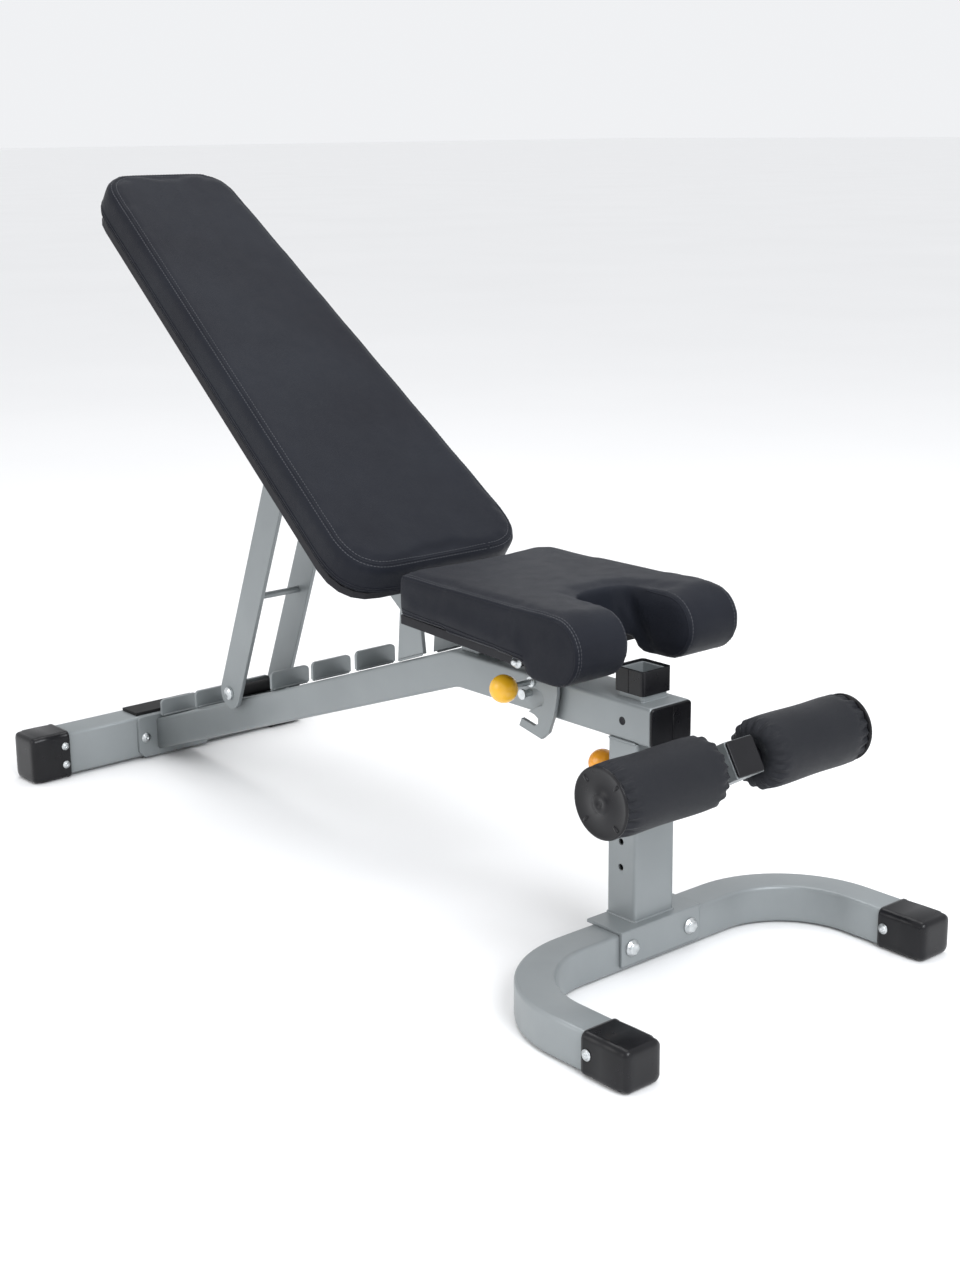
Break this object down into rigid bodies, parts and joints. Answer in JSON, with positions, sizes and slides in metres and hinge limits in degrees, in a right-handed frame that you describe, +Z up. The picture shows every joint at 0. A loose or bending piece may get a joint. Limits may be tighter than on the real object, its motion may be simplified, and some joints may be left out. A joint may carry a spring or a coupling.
{
  "type": "decline sit up bench",
  "caption": "Adjustable sit-up bench with tapered reclining back on a ladder strut, notched seat, U-shaped front foot and foam leg rollers.",
  "frame": {"origin": "on the floor at the middle of the bench's outline", "axes": "+X towards the leg rollers, +Y towards the user's left, +Z up"},
  "size_m": [1.432, 0.578, 0.9539],
  "materials": {
    "silver_paint": "satin powder coat",
    "black_plastic": "semi gloss moulded",
    "black_rubber": "matte",
    "charcoal_vinyl": "fine grain vinyl over foam",
    "board_black": "matte",
    "zinc": "zinc plated",
    "yellow_knob": "glossy ball knob"
  },
  "bodies": {
    "frame": {"main_rail": "silver_paint", "front_post": "silver_paint", "front_foot": "silver_paint", "foot_bracket": "silver_paint", "accessory_socket": "silver_paint", "socket_sleeve": "black_plastic", "rail_end_plug": "black_plastic", "rear_mount_plate": "silver_paint", "rear_stabilizer": "silver_paint", "decline_rest_pad": "black_rubber", "ladder_plate_1": "silver_paint", "ladder_plate_2": "silver_paint", "ladder_plate_3": "silver_paint", "ladder_plate_4": "silver_paint", "ladder_plate_5": "silver_paint", "ladder_plate_6": "silver_paint", "upright_near": "silver_paint", "upright_far": "silver_paint", "back_pivot_bolt": "zinc", "seat_hinge_lug": "silver_paint", "seat_hinge_bolt": "zinc", "catch_peg": "zinc", "front_cap_near": "black_plastic", "front_cap_far": "black_plastic", "rear_cap_near": "black_plastic", "rear_cap_far": "black_plastic", "bracket_bolt_near": "zinc", "bracket_bolt_far": "zinc"},
    "backrest": {"back_pad": "charcoal_vinyl", "back_board": "board_black", "back_spine": "silver_paint", "strut_pivot_bolt": "zinc"},
    "strut": {"strut_bar_near": "silver_paint", "strut_bar_far": "silver_paint", "strut_foot_bolt": "zinc", "strut_foot_sleeve": "black_rubber", "strut_brace_rod": "silver_paint"},
    "seat": {"seat_pad": "charcoal_vinyl", "seat_board": "board_black", "seat_frame": "silver_paint", "catch_pivot_stud": "zinc"},
    "catch": {"seat_catch": "silver_paint", "catch_rod": "zinc", "catch_knob": "yellow_knob"},
    "carriage": {"carriage_sleeve": "silver_paint", "roller_arm": "silver_paint", "arm_plug": "black_plastic", "roller_axle": "zinc", "axle_spacer_near": "zinc", "axle_spacer_far": "zinc", "pin_housing": "zinc"},
    "roller_near": {"roller_core_near": "black_plastic", "foam_roller_near": "charcoal_vinyl", "roller_cap_near": "black_plastic"},
    "roller_far": {"roller_core_far": "black_plastic", "foam_roller_far": "charcoal_vinyl", "roller_cap_far": "black_plastic"},
    "pull_pin": {"pull_pin": "zinc", "pin_knob": "yellow_knob"}
  },
  "joints": [
    {"name": "back_recline", "type": "hinge", "parent": "frame", "child": "backrest", "pos_m": [0.03705, 0, 0.36989], "axis": [0, 1, 0], "range_deg": [0, 33]},
    {"name": "strut_swing", "type": "hinge", "parent": "backrest", "child": "strut", "pos_m": [-0.23876, 0, 0.56704], "axis": [0, 1, 0], "range_deg": [-37, 0]},
    {"name": "seat_tilt", "type": "hinge", "parent": "frame", "child": "seat", "pos_m": [0.151, 0, 0.362], "axis": [0, -1, 0], "range_deg": [0, 8]},
    {"name": "catch_swing", "type": "hinge", "parent": "seat", "child": "catch", "pos_m": [0.333, 0, 0.368], "axis": [0, -1, 0], "range_deg": [-12, 20]},
    {"name": "roller_height", "type": "slide", "parent": "frame", "child": "carriage", "axis": [0, 0, 1], "range_m": [-0.102, 0]},
    {"name": "near_roller_spin", "type": "hinge", "parent": "carriage", "child": "roller_near", "pos_m": [0.5966, 0, 0.288], "axis": [0, 1, 0], "continuous": true},
    {"name": "far_roller_spin", "type": "hinge", "parent": "carriage", "child": "roller_far", "pos_m": [0.5966, 0, 0.288], "axis": [0, 1, 0], "continuous": true},
    {"name": "pin_pull", "type": "slide", "parent": "carriage", "child": "pull_pin", "axis": [-1, 0, 0], "range_m": [0, 0.012], "stiffness_N_per_m": 500, "springref_m": -0.006}
  ],
  "couplings": [
    {"joint": "strut_swing", "follows": "back_recline", "ratio": -1.1}
  ]
}
